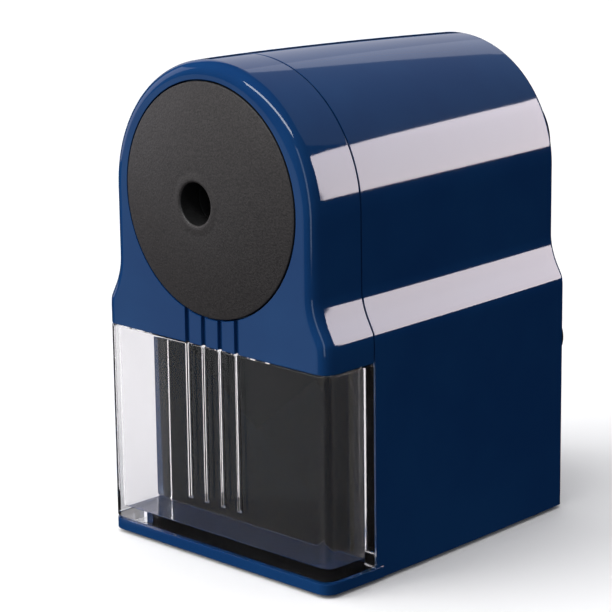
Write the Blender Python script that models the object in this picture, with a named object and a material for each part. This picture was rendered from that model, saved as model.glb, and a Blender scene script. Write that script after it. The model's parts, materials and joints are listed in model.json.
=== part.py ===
"""Hand-crank desk pencil sharpener, modelled as the pieces it comes apart into.

Metres, +Z up. The front disc faces -Y and the crank is at +Y. The feet stand on z = 0, and x = 0 is
the plane of symmetry of the housing. The pencil, the crank and the ring gear share one axis along Y.
The cutter's axis leans towards that axis and meets it at the apex, so its pinion and the ring gear are
a pair of bevel gears about that apex.
"""

import math

import bmesh
import bpy
from mathutils import Vector

# ---- Housing ---------------------------------------------------------------------------------------
LOWER_WIDTH = 0.0670  # over the drawer
UPPER_WIDTH = 0.0600  # over the arch
BODY_DEPTH = 0.0800  # front face to back face
SHELL_WALL = 0.0022
FRONT_WALL = 0.0030
BACK_WALL = 0.0026
TAPER = 0.0030  # how far the sides and the top draw in towards the back
TAPER_POWER = 1.5
FRONT_FILLET = 0.0030
BACK_FILLET = 0.0016
SEAM_DEPTH = 0.0148  # front face to the seam between front cover and housing
LIP_LENGTH = 0.0022  # tongue of the housing inside the front cover
COVER_EDGE = 0.0010  # front cover's wall where it passes over the tongue
SHOULDER_GAP = 0.0038  # drawer's top edge to the foot of the shoulder
SHOULDER_HEIGHT = 0.0120

# ---- Feet, floor and drawer ------------------------------------------------------------------------
FOOT_RADIUS = 0.0050
FOOT_PROUD = 0.0008
FOOT_RECESS = 0.0009
FOOT_INSET_X = 0.0085
FOOT_INSET_Y = 0.0090
FLOOR_TOP = 0.0032
DRAWER_LIFT = 0.0005
DRAWER_TOP = 0.0477
DRAWER_LENGTH = 0.0600
DRAWER_WALL = 0.0018
DRAWER_FRONT_WALL = 0.0022
DRAWER_FLOOR = 0.0022
DRAWER_CORNER = 0.0030
SLIDE_GAP = 0.0005
GROOVE_PITCH = 0.0050
GROOVE_WIDTH = 0.0012
GROOVE_DEPTH = 0.0008
GROOVE_BOTTOM = 0.0123
GROOVE_COUNT = 4

# ---- Front disc and pencil guide -------------------------------------------------------------------
DISC_BORDER = 0.0049  # blue rim left outside the disc at the widest point of the arch
DISC_RAISE = 0.0007  # disc's axis above the arch's centre
FRONT_BAND = 0.0069  # drawer's top edge to the disc's lower edge
DISC_RIM = 0.0011  # thickness at the edge
DISC_SUNK = 0.0003
DISC_PROUD = 0.0040
COLLAR_STEP = 0.0006
COLLAR_RADIUS = 0.0064
HOLE_RADIUS = 0.0045
DISC_SKIN = 0.0014
DOME_POWER = 1.6  # 2 would be a round dome, and 1 a cone
DOME_STEPS = 8
GUIDE_BORE = 0.0041
GUIDE_SLEEVE = 0.0070
GUIDE_SPIGOT = 0.0087
GUIDE_FLANGE = 0.0125
GUIDE_FLANGE_THICK = 0.0017
FUNNEL_LENGTH = 0.0050

# ---- Cutter, carrier and gears ---------------------------------------------------------------------
CUTTER_TILT = math.radians(11.0)
PINION_TEETH = 13
RING_TEETH = 25
PRESSURE_ANGLE = math.radians(20.0)
ADDENDUM = 0.75  # in modules
DEDENDUM = 1.00
GEAR_SIDE_PLAY = 0.00016  # taken off each flank of the pinion, and added to each space of the ring
GEAR_FACE = 0.0070
BELL_GAP = 0.0040  # housing's inner wall at the back to the gear bell
BELL_WALL_AT_PITCH = 0.0052
BELL_BACK_WALL = 0.0030
POST_LENGTH = 0.0080
POST_RADIUS = 0.0034
POST_INSET = 0.0053  # bell's outside to the middle of a post
POST_COUNT = 3
CUTTER_TEETH = 12
CUTTER_TOOTH_DEPTH = 0.0011
CUTTER_TWIST = math.radians(95.0)
CUTTER_LAND = 0.3  # share of a tooth's pitch that its back takes
CUTTER_FLUTE = 0.85  # share of the pitch where the flute is deepest
CUTTER_STATIONS = 12
CUTTER_PIN_RADIUS = 0.0019
CARRIER_SETBACK = 0.0170  # front face of the body to the front of the carrier
CARRIER_FRONT_PLATE = 0.0035
CARRIER_BACK_PLATE = 0.0044
CARRIER_BACK_GAP = 0.0012  # ring's teeth to the edge of the carrier's back plate
PIN_SEAT = 0.0019  # depth of the cutter pin in the back plate
SPIGOT_SEAT = 0.0016  # depth of the crank shaft's spigot in the back plate
CARRIER_RIM = 0.0045  # front plate's rim outside the cutter pin's axis
WEB_THICK = 0.0034
WEB_START = math.radians(80.0)
WEB_END = math.radians(132.0)
WEB_STEPS = 6

# ---- Crank -----------------------------------------------------------------------------------------
SHAFT_RADIUS = 0.0030
SPIGOT_RADIUS = 0.0024
BUSH_RADIUS = 0.0050
BUSH_FLANGE = 0.0070
BUSH_FLANGE_THICK = 0.0011
WASHER_THICK = 0.0008
CRANK_STANDOFF = 0.0014
HUB_RADIUS = 0.0130
HUB_LENGTH = 0.0155
HUB_ROUND = 0.0022
HUB_SOCKET = 0.0096
HUB_WEB = 0.0015
CAP_RADIUS = 0.0087
CAP_PROUD = 0.0015
CAP_THICK = 0.0012
ARM_SETBACK = 0.0016  # front of the hub to the front of the arm
ARM_THICK = 0.0060
ARM_END_RADIUS = 0.0080
ARM_EDGE = 0.0010
ARM_HUB_STEPS = 16
ARM_END_STEPS = 12
CRANK_THROW = 0.0500
CRANK_SCREW_RADIUS = 0.0016
CRANK_SCREW_HEAD = 0.0034
CRANK_SCREW_LENGTH = 0.0070
KNOB_RADIUS = 0.0065
KNOB_NECK = 0.0052
KNOB_LENGTH = 0.0213
KNOB_ROUND = 0.0024
KNOB_NECK_ROUND = 0.0005
KNOB_NECK_LENGTH = 0.0030
KNOB_PIN_RADIUS = 0.0021
KNOB_PIN_HEAD = 0.0038
KNOB_PIN_HEAD_THICK = 0.0021
KNOB_PIN_DEPTH = 0.0048

# ---- Screws and clearances -------------------------------------------------------------------------
SCREW_RADIUS = 0.0012
SCREW_HEAD = 0.0028
SCREW_HEAD_THICK = 0.0012
SCREW_LENGTH = 0.0075
SLOT_WIDTH = 0.0007
SLOT_REACH = 0.6  # of the screw head's radius
CLEAR = 0.0003  # between pieces that touch or run in each other
RUN = 0.0004  # between turning pieces and what stands beside them

# ---- Worked out from the values above --------------------------------------------------------------
LOWER_HALF = LOWER_WIDTH / 2
ARCH_RADIUS = UPPER_WIDTH / 2
DISC_RADIUS = ARCH_RADIUS - DISC_BORDER
AXIS_Z = DRAWER_TOP + FRONT_BAND + DISC_RADIUS
ARCH_Z = AXIS_Z - DISC_RAISE
SHOULDER_BOTTOM = DRAWER_TOP + SHOULDER_GAP
SHOULDER_TOP = SHOULDER_BOTTOM + SHOULDER_HEIGHT
COVER_BOTTOM = DRAWER_TOP + CLEAR

ARM_BACK = CRANK_STANDOFF + ARM_SETBACK + ARM_THICK  # behind the body's back face
KNOB_REACH = ARM_BACK + RUN + KNOB_LENGTH
FRONT_Y = -(BODY_DEPTH + KNOB_REACH - DISC_PROUD) / 2
SEAM_Y = FRONT_Y + SEAM_DEPTH
BACK_Y = FRONT_Y + BODY_DEPTH
BACK_INNER_Y = BACK_Y - BACK_WALL
SEAT_Y = FRONT_Y + DISC_SUNK + DISC_RIM + CLEAR

# The pitch cones of pinion and ring: their half angles differ by the cutter's tilt.
PINION_CONE = math.atan2(math.sin(CUTTER_TILT), RING_TEETH / PINION_TEETH - math.cos(CUTTER_TILT))
RING_CONE = PINION_CONE + CUTTER_TILT
BELL_RADIUS = ARCH_RADIUS - TAPER - SHELL_WALL - BELL_GAP
RING_PITCH = BELL_RADIUS - BELL_WALL_AT_PITCH
MODULE = 2 * RING_PITCH / RING_TEETH
PINION_PITCH = MODULE * PINION_TEETH / 2
CONE_LENGTH = RING_PITCH / math.sin(RING_CONE)
PINION_REACH = CONE_LENGTH * math.cos(PINION_CONE)  # apex to the middle of the pinion, along its axis
RING_REACH = CONE_LENGTH * math.cos(RING_CONE)
PINION_BACK = PINION_REACH - GEAR_FACE / 2
PINION_FRONT = PINION_REACH + GEAR_FACE / 2
CUTTER_BACK = PINION_FRONT + CLEAR
CUTTER_RADIUS = CUTTER_BACK * math.sin(CUTTER_TILT)

BELL_BACK_Y = BACK_INNER_Y - CLEAR - POST_LENGTH
BELL_INNER_Y = BELL_BACK_Y - BELL_BACK_WALL
CARRIER_BACK_Y = BELL_INNER_Y - RUN
PLATE_FRONT_Y = CARRIER_BACK_Y - CARRIER_BACK_PLATE
PINION_TIP = PINION_PITCH + ADDENDUM * MODULE
PINION_BACK_Y = PLATE_FRONT_Y - RUN - PINION_TIP * math.sin(CUTTER_TILT)
APEX_Y = PINION_BACK_Y + PINION_BACK * math.cos(CUTTER_TILT)
APEX = Vector((0.0, APEX_Y, AXIS_Z))
RING_BACK = RING_REACH - GEAR_FACE / 2 - CLEAR
PINION_RIM = PINION_TIP * PINION_FRONT / PINION_REACH
RING_FRONT = PINION_FRONT * math.cos(CUTTER_TILT) - PINION_RIM * math.sin(CUTTER_TILT)
POST_CIRCLE = BELL_RADIUS - POST_INSET
CARRIER_BACK_RADIUS = RING_BACK / RING_REACH * (RING_PITCH - ADDENDUM * MODULE) - CARRIER_BACK_GAP
CARRIER_FRONT_Y = FRONT_Y + CARRIER_SETBACK
CARRIER_PLATE_Y = CARRIER_FRONT_Y + CARRIER_FRONT_PLATE
GUIDE_END_Y = CARRIER_PLATE_Y - CLEAR
CUTTER_FRONT_Y = CARRIER_PLATE_Y + RUN + CUTTER_RADIUS * math.sin(CUTTER_TILT)
CUTTER_FRONT = (APEX_Y - CUTTER_FRONT_Y) / math.cos(CUTTER_TILT)
PIN_OFFSET_FRONT = (APEX_Y - CARRIER_FRONT_Y) * math.tan(CUTTER_TILT)
CARRIER_FRONT_RADIUS = PIN_OFFSET_FRONT + CARRIER_RIM

HUB_FRONT_Y = BACK_Y + CRANK_STANDOFF
HUB_BACK_Y = HUB_FRONT_Y + HUB_LENGTH
SOCKET_END_Y = HUB_FRONT_Y + HUB_SOCKET
HUB_WEB_Y = SOCKET_END_Y + HUB_WEB
ARM_FRONT_Y = HUB_FRONT_Y + ARM_SETBACK
ARM_BACK_Y = ARM_FRONT_Y + ARM_THICK
SHAFT_END_Y = SOCKET_END_Y - CLEAR
KNOB_Z = AXIS_Z - CRANK_THROW
KNOB_FRONT_Y = ARM_BACK_Y + RUN
KNOB_BACK_Y = KNOB_FRONT_Y + KNOB_LENGTH

ARCH_STEPS = 14
SHOULDER_STEPS = 8
FILLET_STEPS = 4
FINE_ROUND = 48
ROUND = 32
SMALL_ROUND = 20


# ---- Materials -------------------------------------------------------------------------------------
def finish(name, colour, roughness, metallic=0.0, alpha=1.0):
    """A Principled BSDF material with one colour, roughness and metallic value."""
    material = bpy.data.materials.new(name)
    material.use_nodes = True
    shader = material.node_tree.nodes["Principled BSDF"]
    shader.inputs["Base Color"].default_value = (*colour, 1.0)
    shader.inputs["Roughness"].default_value = roughness
    shader.inputs["Metallic"].default_value = metallic
    shader.inputs["Alpha"].default_value = alpha
    material.diffuse_color = (*colour, alpha)
    return material


# ---- Modelling helpers -----------------------------------------------------------------------------
def finished(name, bm, material, place=(0.0, 0.0, 0.0), smooth=True):
    """Makes an object from a closed bmesh, with its faces pointing out."""
    bmesh.ops.recalc_face_normals(bm, faces=bm.faces)
    mesh = bpy.data.meshes.new(name)
    bm.to_mesh(mesh)
    bm.free()
    if smooth:
        mesh.shade_smooth()
        mesh.set_sharp_from_angle(angle=math.radians(35))
    mesh.materials.append(material)
    shape = bpy.data.objects.new(name, mesh)
    shape.location = place
    bpy.context.scene.collection.objects.link(shape)
    return shape


def loft(name, sections, material, place=(0.0, 0.0, 0.0), smooth=True):
    """Skins a row of closed sections with equal point counts and caps both ends."""
    bm = bmesh.new()
    loops = [[bm.verts.new(point) for point in section] for section in sections]
    for lower, upper in zip(loops, loops[1:]):
        for i in range(len(lower)):
            j = (i + 1) % len(lower)
            bm.faces.new((lower[i], lower[j], upper[j], upper[i]))
    bm.faces.new(loops[0])
    bm.faces.new(loops[-1])
    return finished(name, bm, material, place, smooth)


def turned(name, profile, material, place=(0.0, 0.0, 0.0), steps=ROUND):
    """Turns a profile of (radius, y) points about Y. It starts and ends on the axis, or it is a closed ring."""
    bm = bmesh.new()
    rings = []
    for radius, y in profile:
        if radius == 0:
            rings.append([bm.verts.new((0.0, y, 0.0))] * steps)
            continue
        angles = [math.tau * i / steps for i in range(steps)]
        rings.append([bm.verts.new((radius * math.cos(a), y, radius * math.sin(a))) for a in angles])
    if profile[0][0] > 0:
        rings.append(rings[0])
    for lower, upper in zip(rings, rings[1:]):
        flat = lower[0].co.y == upper[0].co.y
        if flat and lower[0] is lower[1]:
            bm.faces.new(upper)
            bm.verts.remove(lower[0])
            continue
        if flat and upper[0] is upper[1]:
            bm.faces.new(lower)
            bm.verts.remove(upper[0])
            continue
        for i in range(steps):
            j = (i + 1) % steps
            corners = dict.fromkeys((lower[i], lower[j], upper[j], upper[i]))
            bm.faces.new(tuple(corners))
    return finished(name, bm, material, place)


def prism(name, outline, low, high, material, place=(0.0, 0.0, 0.0), smooth=True):
    """Extrudes a plan outline of (x, y) points from height low to height high."""
    sections = [[(x, y, z) for x, y in outline] for z in (low, high)]
    return loft(name, sections, material, place, smooth)


def box(name, low, high, material):
    outline = [(low[0], low[1]), (high[0], low[1]), (high[0], high[1]), (low[0], high[1])]
    return prism(name, outline, low[2], high[2], material, smooth=False)


def combine(shape, other, operation):
    """Joins other to shape, or cuts it out of shape, and keeps other only as a guide."""
    step = shape.modifiers.new(other.name, "BOOLEAN")
    step.operation = operation
    step.object = other
    other.hide_render = True
    other.display_type = "WIRE"


def cut(shape, *cutters):
    for cutter in cutters:
        combine(shape, cutter, "DIFFERENCE")


def join(shape, *others):
    for other in others:
        combine(shape, other, "UNION")


def rod(name, radius, start, end, material, place=(0.0, 0.0, 0.0), steps=SMALL_ROUND):
    return turned(name, [(0, start), (radius, start), (radius, end), (0, end)], material, place, steps)


def arc(centre, radius, start, end, steps):
    """Points of an arc in a plane, from angle start to angle end."""
    points = []
    for i in range(steps + 1):
        angle = start + (end - start) * i / steps
        points.append((centre[0] + radius * math.cos(angle), centre[1] + radius * math.sin(angle)))
    return points


# ---- Housing outline -------------------------------------------------------------------------------
def taper_at(y):
    """How far the outline has drawn in at a place along the body."""
    share = max(0.0, y - FRONT_Y - FRONT_FILLET) / (BODY_DEPTH - FRONT_FILLET)
    return TAPER * share**TAPER_POWER


def body_section(y, inset, bottom):
    """The outline seen from the front: flat bottom, straight sides, shoulders and arch."""
    radius = ARCH_RADIUS - inset
    flare = LOWER_HALF - ARCH_RADIUS
    right = []
    for i in range(ARCH_STEPS + 1):
        angle = math.pi / 2 * i / ARCH_STEPS
        right.append((radius * math.sin(angle), ARCH_Z + radius * math.cos(angle)))
    for i in range(SHOULDER_STEPS + 1):
        share = i / SHOULDER_STEPS
        wave = (1 - math.cos(math.pi * share)) / 2
        right.append((radius + flare * wave, SHOULDER_TOP - SHOULDER_HEIGHT * share))
    right.append((LOWER_HALF - inset, bottom))
    left = [(-x, z) for x, z in reversed(right[1:])]
    return [(x, y, z) for x, z in right + left]


def body_sections(start, end, wall, bottom, steps=5):
    """Sections of the tapered body from start to end, inside a wall of the given thickness."""
    sections = []
    for i in range(steps + 1):
        y = start + (end - start) * i / steps
        sections.append(body_section(y, taper_at(y) + wall, bottom))
    return sections


def front_plan(back, margin=0.0):
    """Plan of what stands in front of the seam: round front corners, back edge at y = back."""
    corner = DRAWER_CORNER - margin
    side = LOWER_HALF - margin
    front = FRONT_Y + margin
    right = arc((side - corner, front + corner), corner, -math.pi / 2, 0, FILLET_STEPS)
    right.append((side, back))
    return right + [(-x, y) for x, y in reversed(right)]


def groove_places():
    return [(i - (GROOVE_COUNT - 1) / 2) * GROOVE_PITCH for i in range(GROOVE_COUNT)]


# ---- Pieces that stay still ------------------------------------------------------------------------
def make_housing(blue):
    sections = body_sections(SEAM_Y, BACK_Y - BACK_FILLET, 0.0, FOOT_PROUD)
    for i in range(1, FILLET_STEPS + 1):
        angle = math.pi / 2 * i / FILLET_STEPS
        y = BACK_Y - BACK_FILLET * (1 - math.sin(angle))
        inset = taper_at(BACK_Y) + BACK_FILLET * (1 - math.cos(angle))
        sections.append(body_section(y, inset, FOOT_PROUD))
    housing = loft("housing", sections, blue)
    sill = prism("sill", front_plan(SEAM_Y + SHELL_WALL), FOOT_PROUD, FLOOR_TOP, blue)
    lip_start = SEAM_Y - LIP_LENGTH
    lip_wall = COVER_EDGE + CLEAR
    lip_bottom = COVER_BOTTOM + CLEAR
    lip = loft("lip", body_sections(lip_start, SEAM_Y + LIP_LENGTH, lip_wall, lip_bottom, 1), blue)
    inside = body_sections(lip_start - LIP_LENGTH, BACK_INNER_Y, SHELL_WALL, FLOOR_TOP)
    join(housing, sill, lip)
    cut(housing, loft("housing_inside", inside, blue))
    place = (0, BACK_Y, AXIS_Z)
    cut(housing, rod("bush_hole", BUSH_RADIUS + CLEAR, -BACK_WALL * 2, BACK_WALL, blue, place, ROUND))
    for number, (x, z) in enumerate(post_places(), 1):
        shank = [(0, -BACK_WALL * 2), (SCREW_RADIUS + CLEAR, -BACK_WALL * 2)]
        shank.append((SCREW_RADIUS + CLEAR, -SCREW_HEAD_THICK - CLEAR))
        head = [(SCREW_HEAD + CLEAR, -SCREW_HEAD_THICK - CLEAR), (SCREW_HEAD + CLEAR, BACK_WALL), (0, BACK_WALL)]
        hole = turned(f"screw_hole_{number}", shank + head, blue, (x, BACK_Y, z), SMALL_ROUND)
        cut(housing, hole)
    for name, x, y in foot_places():
        cut(housing, foot_disc(name + "_recess", x, y, -FOOT_PROUD, FOOT_PROUD + FOOT_RECESS, CLEAR, blue))
    return housing


def foot_places():
    side = LOWER_HALF - FOOT_INSET_X
    front = FRONT_Y + FOOT_INSET_Y
    back = BACK_Y - FOOT_INSET_Y
    return [
        ("foot_front_left", -side, front),
        ("foot_front_right", side, front),
        ("foot_back_left", -side, back),
        ("foot_back_right", side, back),
    ]


def foot_disc(name, x, y, low, high, growth, material):
    radius = FOOT_RADIUS + growth
    outline = arc((x, y), radius, 0, math.tau * (SMALL_ROUND - 1) / SMALL_ROUND, SMALL_ROUND - 1)
    return prism(name, outline, low, high, material)


def make_feet(rubber):
    for name, x, y in foot_places():
        foot_disc(name, x, y, 0.0, FOOT_PROUD + FOOT_RECESS - CLEAR, 0.0, rubber)


def make_front_cover(blue):
    sections = []
    for i in range(FILLET_STEPS + 1):
        angle = math.pi / 2 * i / FILLET_STEPS
        y = FRONT_Y + FRONT_FILLET * (1 - math.cos(angle))
        sections.append(body_section(y, FRONT_FILLET * (1 - math.sin(angle)), COVER_BOTTOM))
    sections += body_sections(FRONT_Y + FRONT_FILLET, SEAM_Y - CLEAR, 0.0, COVER_BOTTOM, 2)[1:]
    cover = loft("front_cover", sections, blue)
    inside = body_sections(FRONT_Y + FRONT_WALL, SEAM_Y + CLEAR, SHELL_WALL, 0.0, 2)
    rebate = body_sections(SEAM_Y - LIP_LENGTH - CLEAR, SEAM_Y + CLEAR, COVER_EDGE, 0.0, 1)
    cut(cover, loft("cover_inside", inside, blue), loft("cover_rebate", rebate, blue))
    place = (0, SEAT_Y, AXIS_Z)
    seat = [(0, -SEAM_DEPTH), (DISC_RADIUS + CLEAR, -SEAM_DEPTH), (DISC_RADIUS + CLEAR, 0)]
    seat += [(GUIDE_SPIGOT + CLEAR, 0), (GUIDE_SPIGOT + CLEAR, FRONT_WALL), (0, FRONT_WALL)]
    cut(cover, turned("disc_seat", seat, blue, place, FINE_ROUND))
    for number, x in enumerate(groove_places(), 1):
        low = (x - GROOVE_WIDTH / 2, FRONT_Y - GROOVE_DEPTH, 0.0)
        high = (x + GROOVE_WIDTH / 2, FRONT_Y + GROOVE_DEPTH, AXIS_Z - DISC_RADIUS / 2)
        cut(cover, box(f"cover_groove_{number}", low, high, blue))
    return cover


def make_front_disc(dark):
    """A shallow dome with a collar round the pencil hole and a neck behind it."""
    collar_y = -DISC_PROUD
    dome_y = collar_y + COLLAR_STEP
    rise = DISC_SUNK - dome_y
    front = []
    back = []
    for i in range(DOME_STEPS + 1):
        radius = COLLAR_RADIUS + (DISC_RADIUS - COLLAR_RADIUS) * i / DOME_STEPS
        share = (radius - COLLAR_RADIUS) / (DISC_RADIUS - COLLAR_RADIUS)
        y = dome_y + rise * share**DOME_POWER
        front.append((radius, y))
        back.append((radius, y + DISC_RIM + (DISC_SKIN - DISC_RIM) * (1 - share)))
    neck_end = SEAT_Y - FRONT_Y - CLEAR
    profile = [(HOLE_RADIUS, neck_end), (HOLE_RADIUS, collar_y + COLLAR_STEP)]
    profile += [(HOLE_RADIUS + COLLAR_STEP, collar_y), (COLLAR_RADIUS - COLLAR_STEP / 2, collar_y)]
    profile += front + list(reversed(back))[:-1] + [(COLLAR_RADIUS, neck_end)]
    return turned("front_disc", profile, dark, (0, FRONT_Y, AXIS_Z), FINE_ROUND)


def make_pencil_guide(black):
    start = SEAT_Y - FRONT_Y
    wall = FRONT_WALL + CLEAR
    end = GUIDE_END_Y - FRONT_Y
    profile = [
        (HOLE_RADIUS, start),
        (GUIDE_SPIGOT, start),
        (GUIDE_SPIGOT, wall),
        (GUIDE_FLANGE, wall),
        (GUIDE_FLANGE, wall + GUIDE_FLANGE_THICK),
        (GUIDE_SLEEVE, wall + GUIDE_FLANGE_THICK),
        (GUIDE_SLEEVE, end),
        (GUIDE_BORE, end),
        (GUIDE_BORE, start + FUNNEL_LENGTH),
    ]
    return turned("pencil_guide", profile, black, (0, FRONT_Y, AXIS_Z))


# ---- Gears and cutter ------------------------------------------------------------------------------
def gear_outline(teeth, pitch, inner, outer, widen):
    """(radius, angle) points round a gear with involute flanks. widen thickens each flank at the pitch circle."""
    base = pitch * math.cos(PRESSURE_ANGLE)
    half_tooth = math.pi / (2 * teeth) + widen / pitch + math.tan(PRESSURE_ANGLE) - PRESSURE_ANGLE
    flank = []
    for i in range(4):
        radius = inner + (outer - inner) * i / 3
        slope = math.acos(min(1.0, base / radius))
        flank.append((radius, half_tooth - (math.tan(slope) - slope)))
    points = []
    for tooth in range(teeth):
        centre = math.tau * tooth / teeth
        points += [(radius, centre - half) for radius, half in flank]
        points += [(radius, centre + half) for radius, half in reversed(flank)]
    return points


def cone_section(outline, distance, reference):
    """An outline of (radius, angle) points at a distance from the apex, scaled as on a cone."""
    size = distance / reference
    return [(r * size * math.sin(a), -distance, r * size * math.cos(a)) for r, a in outline]


def tilted(shape):
    """Turns a piece that was built along -Y from the apex onto the cutter's axis."""
    shape.location = APEX
    shape.rotation_euler = (-CUTTER_TILT, 0.0, 0.0)
    return shape


def post_places():
    angles = [math.pi / 2 + math.tau * i / POST_COUNT for i in range(POST_COUNT)]
    return [(POST_CIRCLE * math.cos(angle), AXIS_Z + POST_CIRCLE * math.sin(angle)) for angle in angles]


def make_ring_gear(grey):
    """A bell with the ring's teeth in its mouth and three posts that reach the back wall."""
    mouth = -RING_FRONT
    cup = -RING_BACK
    back = BELL_BACK_Y - APEX_Y
    inner = BELL_INNER_Y - APEX_Y
    hollow = RING_BACK / RING_REACH * (RING_PITCH + DEDENDUM * MODULE) + CLEAR
    core = RING_BACK / RING_REACH * (RING_PITCH - ADDENDUM * MODULE) - CLEAR
    profile = [
        (core, mouth),
        (BELL_RADIUS, mouth),
        (BELL_RADIUS, back),
        (SHAFT_RADIUS + CLEAR, back),
        (SHAFT_RADIUS + CLEAR, inner),
        (hollow, inner),
        (hollow, cup),
        (core, cup),
    ]
    bell = turned("ring_gear", profile, grey, APEX, FINE_ROUND)
    for number, (x, z) in enumerate(post_places(), 1):
        start = -BELL_BACK_WALL / 2
        post = rod(f"post_{number}", POST_RADIUS, start, POST_LENGTH, grey, (x, BELL_BACK_Y, z))
        join(bell, post)
    for number, (x, z) in enumerate(post_places(), 1):
        depth = SCREW_LENGTH - BACK_WALL + SCREW_HEAD_THICK + CLEAR
        place = (x, BELL_BACK_Y + POST_LENGTH, z)
        cut(bell, rod(f"post_hole_{number}", SCREW_RADIUS + CLEAR, -depth, depth, grey, place))
    spaces = gear_outline(
        RING_TEETH,
        RING_PITCH,
        RING_PITCH - ADDENDUM * MODULE,
        RING_PITCH + DEDENDUM * MODULE,
        GEAR_SIDE_PLAY,
    )
    reaches = (RING_BACK - CLEAR, RING_FRONT + CLEAR)
    teeth = [cone_section(spaces, reach, RING_REACH) for reach in reaches]
    cut(bell, loft("ring_spaces", teeth, grey, APEX, smooth=False))
    return bell


def make_pinion(steel):
    teeth = gear_outline(
        PINION_TEETH,
        PINION_PITCH,
        PINION_PITCH - DEDENDUM * MODULE,
        PINION_PITCH + ADDENDUM * MODULE,
        -GEAR_SIDE_PLAY,
    )
    sections = [cone_section(teeth, reach, PINION_REACH) for reach in (PINION_BACK, PINION_FRONT)]
    pinion = tilted(loft("cutter_pinion", sections, steel, smooth=False))
    radius = CUTTER_PIN_RADIUS + CLEAR
    cut(pinion, tilted(rod("pinion_bore", radius, -PINION_FRONT - CLEAR, -PINION_BACK + CLEAR, steel)))
    return pinion


def make_cutter(steel):
    """A cylinder with saw-shaped teeth that wind round it."""
    pitch = math.tau / CUTTER_TEETH
    root = CUTTER_RADIUS - CUTTER_TOOTH_DEPTH
    sections = []
    for i in range(CUTTER_STATIONS + 1):
        share = i / CUTTER_STATIONS
        distance = CUTTER_BACK + (CUTTER_FRONT - CUTTER_BACK) * share
        outline = []
        for tooth in range(CUTTER_TEETH):
            start = pitch * tooth + CUTTER_TWIST * share
            outline.append((CUTTER_RADIUS, start))
            outline.append((CUTTER_RADIUS - CUTTER_TOOTH_DEPTH / 4, start + pitch * CUTTER_LAND))
            outline.append((root, start + pitch * CUTTER_FLUTE))
        sections.append([(r * math.sin(a), -distance, r * math.cos(a)) for r, a in outline])
    cutter = tilted(loft("helical_cutter", sections, steel, smooth=False))
    radius = CUTTER_PIN_RADIUS + CLEAR
    cut(cutter, tilted(rod("cutter_bore", radius, -CUTTER_FRONT - CLEAR, -CUTTER_BACK + CLEAR, steel)))
    return cutter


def pin_ends():
    """Distances from the apex to the ends of the cutter's pin, inside both plates."""
    back = (APEX_Y - PLATE_FRONT_Y - PIN_SEAT) / math.cos(CUTTER_TILT) + CUTTER_PIN_RADIUS * math.tan(CUTTER_TILT)
    front = (APEX_Y - CARRIER_FRONT_Y) / math.cos(CUTTER_TILT) - CUTTER_PIN_RADIUS * math.tan(CUTTER_TILT)
    return back, front


def make_cutter_pin(steel):
    back, front = pin_ends()
    return tilted(rod("cutter_pin", CUTTER_PIN_RADIUS, -front, -back, steel))


def carrier_web(name, side, metal):
    """One slanting bar of the carrier, from the front plate to the back plate."""
    starts = (CARRIER_PLATE_Y - CARRIER_FRONT_PLATE / 2, PLATE_FRONT_Y + CARRIER_BACK_PLATE / 2)
    radii = (CARRIER_FRONT_RADIUS - CLEAR, CARRIER_BACK_RADIUS - CLEAR)
    sections = []
    for i in range(WEB_STEPS + 1):
        angle = side * (WEB_START + (WEB_END - WEB_START) * i / WEB_STEPS)
        corners = [(radii[0] - WEB_THICK, starts[0]), (radii[0], starts[0])]
        corners += [(radii[1], starts[1]), (radii[1] - WEB_THICK, starts[1])]
        sections.append([(r * math.sin(angle), y, r * math.cos(angle)) for r, y in corners])
    return loft(name, sections, metal, (0, 0, AXIS_Z))


def make_carrier(metal):
    sleeve = GUIDE_SLEEVE + CLEAR
    front = [(sleeve, CARRIER_FRONT_Y), (CARRIER_FRONT_RADIUS, CARRIER_FRONT_Y)]
    front += [(CARRIER_FRONT_RADIUS, CARRIER_PLATE_Y), (sleeve, CARRIER_PLATE_Y)]
    seat = CARRIER_BACK_Y - SPIGOT_SEAT - CLEAR
    back = [(0, PLATE_FRONT_Y), (CARRIER_BACK_RADIUS, PLATE_FRONT_Y)]
    back += [(CARRIER_BACK_RADIUS, CARRIER_BACK_Y), (SPIGOT_RADIUS + CLEAR, CARRIER_BACK_Y)]
    back += [(SPIGOT_RADIUS + CLEAR, seat), (0, seat)]
    carrier = turned("cutter_carrier", front, metal, (0, 0, AXIS_Z), FINE_ROUND)
    join(carrier, carrier_web("web_left", -1, metal), carrier_web("web_right", 1, metal))
    join(carrier, turned("carrier_back_plate", back, metal, (0, 0, AXIS_Z), ROUND))
    hole_start = -pin_ends()[0] + CLEAR
    hole_end = -pin_ends()[1] - CARRIER_FRONT_PLATE
    pin_hole = rod("pin_hole", CUTTER_PIN_RADIUS + CLEAR, hole_end, hole_start, metal)
    cut(carrier, tilted(pin_hole))
    return carrier


# ---- Crank -----------------------------------------------------------------------------------------
def make_crank_shaft(steel):
    hole_end = HUB_WEB_Y - CRANK_SCREW_LENGTH - CLEAR
    bore = CRANK_SCREW_RADIUS + CLEAR
    profile = [
        (0, CARRIER_BACK_Y - SPIGOT_SEAT),
        (SPIGOT_RADIUS, CARRIER_BACK_Y - SPIGOT_SEAT),
        (SPIGOT_RADIUS, CARRIER_BACK_Y + CLEAR),
        (SHAFT_RADIUS, CARRIER_BACK_Y + CLEAR),
        (SHAFT_RADIUS, SHAFT_END_Y),
        (bore, SHAFT_END_Y),
        (bore, hole_end),
        (0, hole_end),
    ]
    return turned("crank_shaft", profile, steel, (0, 0, AXIS_Z))


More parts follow.
